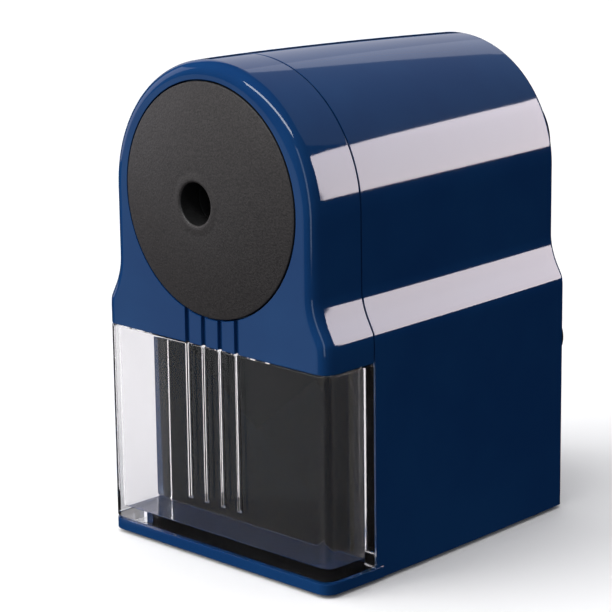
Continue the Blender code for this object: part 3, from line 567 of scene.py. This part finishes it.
# The shoulder's flank: how far down it each turn lies, and the slope there.
FLANK_DEPTHS = [0.0, 0.0019, 0.0057, 0.0063, 0.0089, 0.0096, 0.0120]
FLANK_SLOPES = [0.0, 0.16, 0.46, 0.53, 0.53, 0.14, 0.0]


def flare(share):
    """How much of the shoulder's flare is reached at a share of its height, counted from the top."""
    depth = share * FLANK_DEPTHS[-1]
    reached, whole = 0.0, 0.0
    for i in range(1, len(FLANK_DEPTHS)):
        start, end = FLANK_DEPTHS[i - 1], FLANK_DEPTHS[i]
        first, last = FLANK_SLOPES[i - 1], FLANK_SLOPES[i]
        whole += (end - start) * (first + last) / 2
        part = min(max(depth - start, 0.0), end - start)
        reached += part * (first + (last - first) * part / (end - start) / 2)
    return reached / whole


def arch_block(name, start, end, inset, bottom, steps):
    """A solid of the body's outline: an arch on straight sides that flare out at the shoulders."""
    radius = ARCH_RADIUS - inset - taper_at(start)
    body = ring(name, radius, (0, start, ARCH_Z), ARCH_POINTS * 4)
    open_up(body)
    pick("VERT", lambda vert: vert.co.z < ARCH_Z - TINY)
    bpy.ops.mesh.delete(type="VERT")
    pick("VERT", lambda vert: vert.co.z < ARCH_Z + TINY)
    pull(0, 0, SHOULDER_TOP - ARCH_Z)
    half = radius
    fall = (SHOULDER_TOP - SHOULDER_BOTTOM) / SHOULDER_POINTS
    for i in range(1, SHOULDER_POINTS + 1):
        wider = radius + (LOWER_HALF - ARCH_RADIUS) * flare(i / SHOULDER_POINTS)
        pull(0, 0, -fall)
        stretch(wider / half, 1, 1, (0, start, SHOULDER_TOP - fall * i))
        half = wider
    pull(0, 0, bottom - SHOULDER_BOTTOM)
    bpy.ops.mesh.select_all(action="SELECT")
    bpy.ops.mesh.edge_face_add()
    y = start
    for i in range(1, steps + 1):
        next_y = start + (end - start) * i / steps
        pull(0, next_y - y, 0)
        more = taper_at(next_y) - taper_at(y)
        share = (radius - more) / radius
        pick("VERT", lambda vert: at_y(vert, next_y) and vert.co.z > ARCH_Z - TINY)
        stretch(share, 1, share, (0, next_y, ARCH_Z))
        for side in (-1, 1):
            pick(
                "VERT",
                lambda vert: at_y(vert, next_y) and vert.co.z < ARCH_Z - TINY and vert.co.x * side > 0,
            )
            shift(-side * more, 0, 0)
        pick("FACE", lambda face: abs(face.calc_center_median().y - next_y) < TINY)
        radius -= more
        y = next_y
    close_up()
    return body


def round_end(body, y, width, bottom, segments):
    """Rounds the outline of one end of the body, but not its bottom edge."""
    open_up(body)
    pick(
        "EDGE",
        lambda edge: all(at_y(vert, y) for vert in edge.verts)
        and any(vert.co.z > bottom + TINY for vert in edge.verts),
    )
    bpy.ops.mesh.bevel(offset=width, segments=segments, affect="EDGES", clamp_overlap=True)
    close_up()


def make_housing(finish, inside_painted_shade):
    bottom = BODY_LOW.z
    housing = arch_block("housing_shell", SEAM_Y, BACK_Y, 0, bottom, LONG_STEPS)
    round_end(housing, BACK_Y, BACK_FILLET, bottom, segments=6)
    sill_low = (-LOWER_HALF, FRONT_Y, bottom)
    sill_high = (LOWER_HALF, SEAM_Y + SHELL_WALL, FLOOR_TOP)
    carve(housing, rounded_block("sill", sill_low, sill_high, SILL_CORNER, segments=8), "UNION")
    tongue_start = SEAM_Y - TONGUE_LENGTH
    tongue_end = SEAM_Y + TONGUE_LENGTH
    tongue = arch_block("tongue", tongue_start, tongue_end, TONGUE_INSET, COVER_LOW.z + GAP, 1)
    carve(housing, tongue, "UNION")
    start = SEAM_Y - TONGUE_LENGTH * 2
    hollow = arch_block("inside", start, BACK_Y - BACK_WALL, SHELL_WALL, FLOOR_TOP, LONG_STEPS)
    # The hollow's faces take slot 1, the painted shade inside the shell.
    carve(housing, hollow, slot=1)
    carve(housing, rod("bush_hole", BUSH_HOLE, BACK_Y - BACK_WALL * 2, BACK_Y + GAP))
    for node in GEAR_SCREWS:
        place = centre_of(node)
        seat_y = BACK_Y - SCREW_HEAD_THICK - GAP
        profile = [(SCREW_HOLE, BACK_Y - BACK_WALL * 2), (SCREW_HOLE, seat_y)]
        profile += [(SCREW_SEAT, seat_y), (SCREW_SEAT, BACK_Y + GAP)]
        carve(housing, turned("screw_seat", profile, place.x, place.z, 48))
    for node in FEET:
        place = centre_of(node)
        seat_middle = (place.x, place.y, FOOT_SEAT_TOP / 2)
        carve(housing, post("foot_seat", FOOT_SEAT, FOOT_SEAT_TOP, seat_middle, 64))
    round_edges(housing, SOFT_EDGE, 2)
    settle(housing, finish, "navy_plastic", "housing", "housing", inside=inside_painted_shade)


def make_cover(finish, inside_painted_shade):
    bottom = COVER_LOW.z
    cover = arch_block("front_cover_shell", FRONT_Y, SEAM_Y - GAP, 0, bottom, 2)
    round_end(cover, FRONT_Y, FRONT_FILLET, bottom, segments=10)
    # The inner faces and the rebate take slot 1, the painted shade inside the cover.
    carve(cover, arch_block("inside", FRONT_Y + FRONT_WALL, SEAM_Y + GAP, SHELL_WALL, 0, 2), slot=1)
    rebate_start = SEAM_Y - TONGUE_LENGTH - GAP
    carve(cover, arch_block("rebate", rebate_start, SEAM_Y + GAP, REBATE_WALL, 0, 1), slot=1)
    radius = DISC_HIGH.x + GAP
    seat_y = GUIDE_LOW.y
    spigot = GUIDE_SPIGOT + GAP
    seat = [(radius, FRONT_Y - FRONT_WALL), (radius, seat_y)]
    seat += [(spigot, seat_y), (spigot, seat_y + FRONT_WALL)]
    for x in GROOVE_PLACES:
        low = (x - GROOVE_WIDTH / 2, FRONT_Y - GROOVE_DEPTH, 0)
        high = (x + GROOVE_WIDTH / 2, FRONT_Y + GROOVE_DEPTH, AXIS_Z - radius / 2)
        carve(cover, block("groove", low, high))
    carve(cover, turned("seat", seat, around=128))
    round_edges(cover, SOFT_EDGE, 2)
    settle(cover, finish, "navy_plastic", "housing", "front_cover", inside=inside_painted_shade)


# ---- Disc and guide --------------------------------------------------------------------------------
def make_disc(finish, rim_hole_painted_shade):
    """A shallow dome whose rim stands just proud of the front, with a soft lip round the pencil hole."""
    rim = DISC_HIGH.x
    neck_y = DISC_HIGH.y
    lip_y = DISC_LOW.y
    dome_y = lip_y + LIP_DROP
    rise = FRONT_Y - RIM_PROUD - dome_y
    front = []
    back = []
    for i in range(DOME_STEPS + 1):
        share = i / DOME_STEPS
        radius = COLLAR_RADIUS + (rim - COLLAR_RADIUS) * share
        y = dome_y + rise * share**DOME_POWER
        front.append((radius, y))
        back.append((radius, y + DISC_RIM + (DISC_SKIN - DISC_RIM) * (1 - share)))
    lip = [(HOLE_RADIUS, neck_y), (HOLE_RADIUS, lip_y + LIP_ROUND), (HOLE_RADIUS + LIP_ROUND, lip_y)]
    lip += [(COLLAR_RADIUS - LIP_ROUND * 2, lip_y)]
    profile = lip + front + back[:0:-1] + [(COLLAR_RADIUS, neck_y)]
    disc = turned("front_disc_dome", profile, around=160, tube=True)
    round_edges(disc, SOFT_EDGE, 3)
    # Painted shade: the rim's side and the hole's wall take the near-black second finish, though the
    # disc is one moulding.
    for face in disc.data.polygons:
        reach = math.hypot(face.center.x, face.center.z - AXIS_Z)
        if abs(face.normal.y) < 0.5 and (reach < HOLE_RADIUS + GAP or reach > rim - GAP):
            face.material_index = 1
    settle(disc, finish, "grained_dark_plastic", "housing", "front_disc", inside=rim_hole_painted_shade)


def make_guide(finish):
    start = GUIDE_LOW.y
    end = GUIDE_HIGH.y
    wall = FRONT_Y + FRONT_WALL + GAP
    flange = GUIDE_HIGH.x
    flange_y = wall + GUIDE_FLANGE_THICK
    profile = [(HOLE_RADIUS, start), (GUIDE_SPIGOT, start), (GUIDE_SPIGOT, wall), (flange, wall)]
    profile += [(flange, flange_y), (GUIDE_SLEEVE, flange_y), (GUIDE_SLEEVE, end)]
    profile += [(GUIDE_BORE, end), (GUIDE_BORE, start + GUIDE_FUNNEL)]
    guide = turned("pencil_guide_sleeve", profile, tube=True)
    round_edges(guide, SOFT_EDGE, 2)
    settle(guide, finish, "black_plastic", "housing", "pencil_guide")


# ---- Drawer ----------------------------------------------------------------------------------------
def make_drawer(finish):
    low, high = TRAY_LOW, TRAY_HIGH
    inner = DRAWER_INNER_HALF
    wall = DRAWER_WALL
    step_y = DRAWER_STEP_Y
    front_high = (high.x, step_y, high.z)
    drawer = rounded_block("chip_drawer_tray", (low.x, low.y, low.z), front_high, SILL_CORNER)
    carve(drawer, block("rear_part", (-inner, step_y - wall, low.z), (inner, high.y, high.z)), "UNION")
    floor_z = low.z + DRAWER_FLOOR
    over = high.z + wall
    front = low.y + DRAWER_FRONT_WALL
    side = high.x - wall
    hollow_low = (-side, front, floor_z)
    hollow = rounded_block("hollow", hollow_low, (side, step_y - wall, over), SILL_CORNER - wall)
    rear_low = (-inner + wall, step_y - wall * 2, floor_z)
    carve(hollow, block("rear", rear_low, (inner - wall, high.y - wall, over)), "UNION")
    carve(drawer, hollow)
    for x in GROOVE_PLACES:
        groove_low = (x - GROOVE_WIDTH / 2, FRONT_Y - GROOVE_DEPTH, GROOVE_BOTTOM)
        groove_high = (x + GROOVE_WIDTH / 2, FRONT_Y + GROOVE_DEPTH, over)
        carve(drawer, block("groove", groove_low, groove_high))
    round_edges(drawer, DRAWER_EDGE, 3)
    settle(drawer, finish, "smoke_plastic", "drawer", "chip_drawer")


# ---- Crank -----------------------------------------------------------------------------------------
def quarter_round(radius, y, size, steps=6):
    """Profile points of a rounded rim that ends a turned piece at y."""
    points = []
    for i in range(steps + 1):
        angle = math.pi / 2 * i / steps
        points.append((radius - size * (1 - math.cos(angle)), y - size * (1 - math.sin(angle))))
    return points


def make_arm(finish):
    """A flat arm that narrows from the hub to the knob's end, with the hub joined on."""
    wide = HUB_RADIUS - HUB_ROUND / 2
    place = (0, ARM_FRONT_Y, AXIS_Z)
    arm = ring("crank_arm_moulding", wide, place, 96)
    lean = (wide - ARM_END_RADIUS) / (AXIS_Z - KNOB_Z)
    open_up(arm)
    pick("VERT", lambda vert: vert.co.z < AXIS_Z - wide * lean - TINY)
    share = ARM_END_RADIUS / wide
    stretch(share, 1, share, place)
    shift(0, 0, KNOB_Z - AXIS_Z)
    bpy.ops.mesh.select_all(action="SELECT")
    bpy.ops.mesh.edge_face_add()
    pull(0, ARM_BACK_Y - ARM_FRONT_Y, 0)
    close_up()
    round_edges(arm, ARM_EDGE, 5, 60)
    front = ARM_LOW.y
    back = ARM_HIGH.y
    hub = [(HUB_RADIUS - ARM_EDGE, front), (HUB_RADIUS, front + ARM_EDGE)]
    hub += quarter_round(HUB_RADIUS, back, HUB_ROUND, 8)
    carve(arm, turned("hub", hub, around=128), "UNION")
    socket_end = front + HUB_SOCKET
    web_y = front + HUB_SOCKET + HUB_WEB
    socket = [(SHAFT_RADIUS + GAP, front - GAP), (SHAFT_RADIUS + GAP, socket_end)]
    socket += [(CRANK_SCREW_RADIUS + GAP, socket_end), (CRANK_SCREW_RADIUS + GAP, web_y)]
    socket += [(CAP_RADIUS + GAP, web_y), (CAP_RADIUS + GAP, back + GAP)]
    carve(arm, turned("socket", socket))
    pin_end = ARM_BACK_Y - PIN_DEPTH - GAP
    carve(arm, rod("pin_hole", PIN_RADIUS + GAP, pin_end, KNOB_LOW.y, 0, KNOB_Z))
    round_edges(arm, SOFT_EDGE, 2, 50)
    settle(arm, finish, "black_gloss_plastic", "crank", "crank_arm")


def make_cap(finish):
    """A low round button that closes the hub."""
    profile = [(CAP_RADIUS, CAP_LOW.y)]
    for i in range(CAP_STEPS):
        share = 1 - i / CAP_STEPS
        profile.append((CAP_RADIUS * share, ARM_HIGH.y + CAP_PROUD * (1 - share**2)))
    cap = turned("hub_cap_button", profile, around=128)
    round_edges(cap, SOFT_EDGE, 2)
    settle(cap, finish, "black_gloss_plastic", "crank", "hub_cap")


def make_knob(finish):
    """A handle that widens from its neck, with a sunk seat for the pin's head."""
    front = KNOB_LOW.y
    back = KNOB_HIGH.y
    radius = KNOB_HIGH.x
    bore = PIN_RADIUS + GAP
    recess = PIN_HIGH.x + GAP
    seat_y = back - PIN_HEAD_THICK - GAP
    waist = (front + back) / 2
    profile = [(bore, front), (KNOB_NECK - KNOB_NECK_ROUND, front), (KNOB_NECK, front + KNOB_NECK_ROUND)]
    profile += [(KNOB_NECK + GAP, front + KNOB_NECK_LENGTH), (radius - GAP, waist)]
    profile += [(radius, waist + KNOB_NECK_LENGTH)] + quarter_round(radius, back, KNOB_ROUND, 8)
    profile += [(recess, back), (recess, seat_y), (bore, seat_y)]
    knob = turned("knob_grip", profile, z=KNOB_Z, tube=True)
    round_edges(knob, SOFT_EDGE, 2)
    settle(knob, finish, "black_gloss_plastic", "knob", "knob")


def make_pin(finish):
    """The knob's axle, with a crowned head."""
    head_y = KNOB_HIGH.y - PIN_HEAD_THICK
    crown = PIN_HEAD_THICK / 2
    profile = [(PIN_RADIUS, PIN_LOW.y), (PIN_RADIUS, head_y), (PIN_HIGH.x, head_y)]
    for i in range(PIN_STEPS):
        share = 1 - i / PIN_STEPS
        profile.append((PIN_HIGH.x * share, PIN_HIGH.y - crown * share**2))
    pin = turned("knob_rivet", profile, z=KNOB_Z, around=64)
    round_edges(pin, FINE_EDGE, 2)
    settle(pin, finish, "steel", "crank", "knob_pin")


# ---- Fittings --------------------------------------------------------------------------------------
def make_feet(finish):
    """Round feet, each hollowed a little underneath."""
    low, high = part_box(FEET[0])
    radius = (high.x - low.x) / 2
    first = centre_of(FEET[0])
    foot = post("rubber_foot_1", radius, high.z - low.z, first, 72)
    open_up(foot)
    pick("FACE", lambda face: face.normal.z < -0.9)
    bpy.ops.mesh.inset(thickness=radius * FOOT_RIM)
    shift(0, 0, FOOT_HOLLOW)
    bpy.ops.mesh.inset(thickness=radius * FOOT_STEP)
    close_up()
    round_edges(foot, FOOT_EDGE, 3)
    feet = [foot]
    for number, node in enumerate(FEET[1:], 2):
        step = centre_of(node) - first
        feet.append(another(foot, f"rubber_foot_{number}", step.x, step.y, 0))
    for piece, node in zip(feet, FEET):
        settle(piece, finish, "rubber", "housing", node)


def make_gear_screws(finish):
    """Round-headed screws with a cross recess, sunk in the back wall."""
    low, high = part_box(GEAR_SCREWS[0])
    first = centre_of(GEAR_SCREWS[0])
    head = high.x
    shank = SCREW_SHANK
    head_y = high.y - SCREW_HEAD_THICK
    profile = [(shank * SCREW_POINT, low.y), (shank, low.y + shank), (shank, head_y), (head, head_y)]
    profile += quarter_round(head, high.y, SCREW_HEAD_THICK * SCREW_CROWN, 6)
    screw = turned("gear_case_screw_1", profile, first.x, first.z, 64)
    reach, half = head * CROSS_REACH, CROSS_WIDTH / 2
    for across, up in ((reach, half), (half, reach)):
        slot_low = (first.x - across, high.y - CROSS_WIDTH, first.z - up)
        slot_high = (first.x + across, high.y + CROSS_WIDTH, first.z + up)
        carve(screw, block("cross", slot_low, slot_high))
    round_edges(screw, SCREW_EDGE, 2)
    screws = [screw]
    for number, node in enumerate(GEAR_SCREWS[1:], 2):
        step = centre_of(node) - first
        screws.append(another(screw, f"gear_case_screw_{number}", step.x, 0, step.z))
    for piece, node in zip(screws, GEAR_SCREWS):
        settle(piece, finish, "steel", "housing", node)


def make_bush(finish):
    low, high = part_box("rear_bush")
    bore = SHAFT_RADIUS + GAP
    flange_y = low.y + BUSH_FLANGE_THICK
    profile = [(bore, low.y), (high.x, low.y), (high.x, flange_y)]
    profile += [(BUSH_BODY, flange_y), (BUSH_BODY, high.y), (bore, high.y)]
    bush = turned("rear_bush_ring", profile, tube=True)
    round_edges(bush, SOFT_EDGE, 2)
    settle(bush, finish, "bronze", "housing", "rear_bush")


def make_washer(finish):
    low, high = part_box("thrust_washer")
    bore = SHAFT_RADIUS + GAP
    profile = [(bore, low.y), (high.x, low.y), (high.x, high.y), (bore, high.y)]
    washer = turned("thrust_washer_ring", profile, tube=True)
    round_edges(washer, FINE_EDGE, 2)
    settle(washer, finish, "nylon", "housing", "thrust_washer")


# ---- Pieces kept from the frame --------------------------------------------------------------------
def paint_node(node, finish):
    """Gives a CAD node a finish in each of its material slots."""
    for slot in bpy.data.objects[node].material_slots:
        slot.material = finish


# ---- Stage -----------------------------------------------------------------------------------------
CAMERA_AZIMUTH = math.radians(44.73)
CAMERA_PITCH = math.radians(14.33)
CAMERA_ROLL = math.radians(-0.72)
CAMERA_DISTANCE = 0.5914
CAMERA_TARGET = Vector((-0.0115, FRONT_Y + 0.0400, 0.0477))
CAMERA_LENS = 155.3
FILM_WIDTH = 36
FLOOR_SIZE = 12

# Panels that show only as reflections: name, azimuth and elevation in degrees, distance, width,
# height, brightness and tint.
PANELS = [
    ("side_panel", 146, 13.5, 1.2, 0.62, 0.56, 9.8, (1.0, 0.90, 0.93)),
    ("fillet_panel", 12, 54, 1.2, 1.2, 0.20, 9.0, (0.95, 0.98, 1.0)),
    ("fillet_strip", 40, 10, 1.3, 0.26, 1.1, 1.7, (0.75, 0.88, 1.0)),
    ("top_panel", -135, 22, 1.4, 1.3, 0.75, 0.75, (0.9, 0.9, 1.0)),
    ("left_panel", -75, 10, 1.4, 0.7, 0.9, 0.9, (0.9, 0.9, 1.0)),
    ("table_glow", -38, -12, 1.3, 0.95, 0.40, 0.40, (0.75, 0.88, 1.0)),
    ("roof_glow", 180, 41, 1.4, 1.7, 0.8, 0.26, (0.9, 0.92, 1.0)),
]


def make_camera():
    """A long lens in front of the sharpener's right corner, a little above it."""
    data = bpy.data.cameras.new("camera")
    data.lens = CAMERA_LENS
    data.sensor_width = FILM_WIDTH
    camera = bpy.data.objects.new("camera", data)
    across = math.cos(CAMERA_PITCH)
    right = math.sin(CAMERA_AZIMUTH) * across
    forward = -math.cos(CAMERA_AZIMUTH) * across
    back = Vector((right, forward, math.sin(CAMERA_PITCH)))
    camera.location = CAMERA_TARGET + back * CAMERA_DISTANCE
    camera.rotation_mode = "QUATERNION"
    camera.rotation_quaternion = back.to_track_quat("Z", "Y") @ Quaternion((0, 0, 1), CAMERA_ROLL)
    bpy.context.scene.collection.objects.link(camera)
    bpy.context.scene.camera = camera


def towards(azimuth, elevation):
    """Direction from the sharpener: azimuth 0 is in front of the disc, 90 is its right side."""
    turn, lift = math.radians(azimuth), math.radians(elevation)
    return Vector((math.sin(turn) * math.cos(lift), -math.cos(turn) * math.cos(lift), math.sin(lift)))


def make_softbox(name, azimuth, elevation, distance, width, height, brightness, tint, gives_light):
    """A rectangle that faces the sharpener: it either gives light, or shows only as a reflection."""
    data = bpy.data.lights.new(name, "AREA")
    data.shape = "RECTANGLE"
    data.size = width
    data.size_y = height
    data.energy = brightness * width * height * math.pi
    data.color = tint
    lamp = bpy.data.objects.new(name, data)
    away = towards(azimuth, elevation)
    lamp.location = Vector((0, 0, ARCH_Z)) + away * distance
    lamp.rotation_mode = "QUATERNION"
    lamp.rotation_quaternion = away.to_track_quat("Z", "Y")
    lamp.visible_diffuse = gives_light
    lamp.visible_glossy = not gives_light
    bpy.context.scene.collection.objects.link(lamp)


def make_lights():
    """Light for the table and the front, and panels that show only as reflections."""
    sun = bpy.data.lights.new("window_sky", "SUN")
    sun.energy = 2.1
    sun.angle = math.radians(80)
    lamp = bpy.data.objects.new("window_sky", sun)
    lamp.rotation_mode = "QUATERNION"
    lamp.rotation_quaternion = towards(-45, 65).to_track_quat("Z", "Y")
    lamp.visible_glossy = False
    bpy.context.scene.collection.objects.link(lamp)
    make_softbox("front_light", -30, 18, 1.3, 0.9, 0.8, 4.6, (1, 1, 1), gives_light=True)
    for panel in PANELS:
        make_softbox(*panel, gives_light=False)


def make_floor():
    """Plain pale paper, which shows in no reflection."""
    bpy.ops.mesh.primitive_plane_add(size=FLOOR_SIZE, location=(0, 0, 0))
    floor = keep_as("floor")
    material, shader = start_finish("pale_paper", (0.93, 0.93, 0.93), 0.8)
    vary_colour(material, shader, noise(material, 6, 3), (0.925, 0.925, 0.925), (0.935, 0.935, 0.935))
    floor.data.materials.append(material)
    floor.visible_glossy = False
    floor.visible_diffuse = False
    floor.visible_shadow = False


def make_world():
    """A plain room that lights evenly from above, and shows in no reflection."""
    world = bpy.data.worlds.new("studio")
    world.use_nodes = True
    nodes = world.node_tree.nodes
    links = world.node_tree.links
    place = nodes.new("ShaderNodeTexCoord")
    split = nodes.new("ShaderNodeSeparateXYZ")
    ramp = nodes.new("ShaderNodeValToRGB")
    links.new(place.outputs["Generated"], split.inputs["Vector"])
    links.new(split.outputs["Z"], ramp.inputs["Fac"])
    ramp.color_ramp.elements[0].position = 0.0
    ramp.color_ramp.elements[0].color = (0.06, 0.06, 0.07, 1)
    ramp.color_ramp.elements[1].position = 0.1
    ramp.color_ramp.elements[1].color = (0.50, 0.50, 0.52, 1)
    links.new(ramp.outputs["Color"], nodes["Background"].inputs["Color"])
    world.cycles_visibility.glossy = False
    bpy.context.scene.world = world


# ---- Putting it together ---------------------------------------------------------------------------
def main():
    make_world()
    make_camera()
    make_floor()
    make_lights()
    navy = navy_gloss()
    # Painted shade for the inner faces of the housing and the cover.
    inside = shell_inside_painted_shade()
    black = black_gloss()
    axle_centre = (0, 0, AXIS_Z)
    make_housing(navy, inside)
    make_cover(navy, inside)
    matt_and_painted_shade = matt_black_and_painted_shade()
    make_disc(grained_dark(), matt_and_painted_shade)
    make_guide(matt_and_painted_shade)
    make_drawer(smoke_clear())
    make_arm(black)
    make_cap(black)
    make_knob(black)
    make_pin(turned_steel("rivet_steel", (0, 0, KNOB_Z)))
    make_feet(foot_rubber())
    make_gear_screws(turned_steel("screw_steel", axle_centre))
    make_bush(sintered_bronze())
    make_washer(white_nylon())
    paint_node("ring_gear", grey_acetal())
    paint_node("cutter_carrier", cast_metal())
    cutter = cutter_steel()
    paint_node("helical_cutter", cutter)
    paint_node("cutter_pinion", cutter)
    shaft = turned_steel("shaft_steel", axle_centre)
    for node in ("crank_shaft", "crank_screw", "cutter_pin"):
        paint_node(node, shaft)


main()
bpy.context.scene.view_settings.view_transform = "Standard"
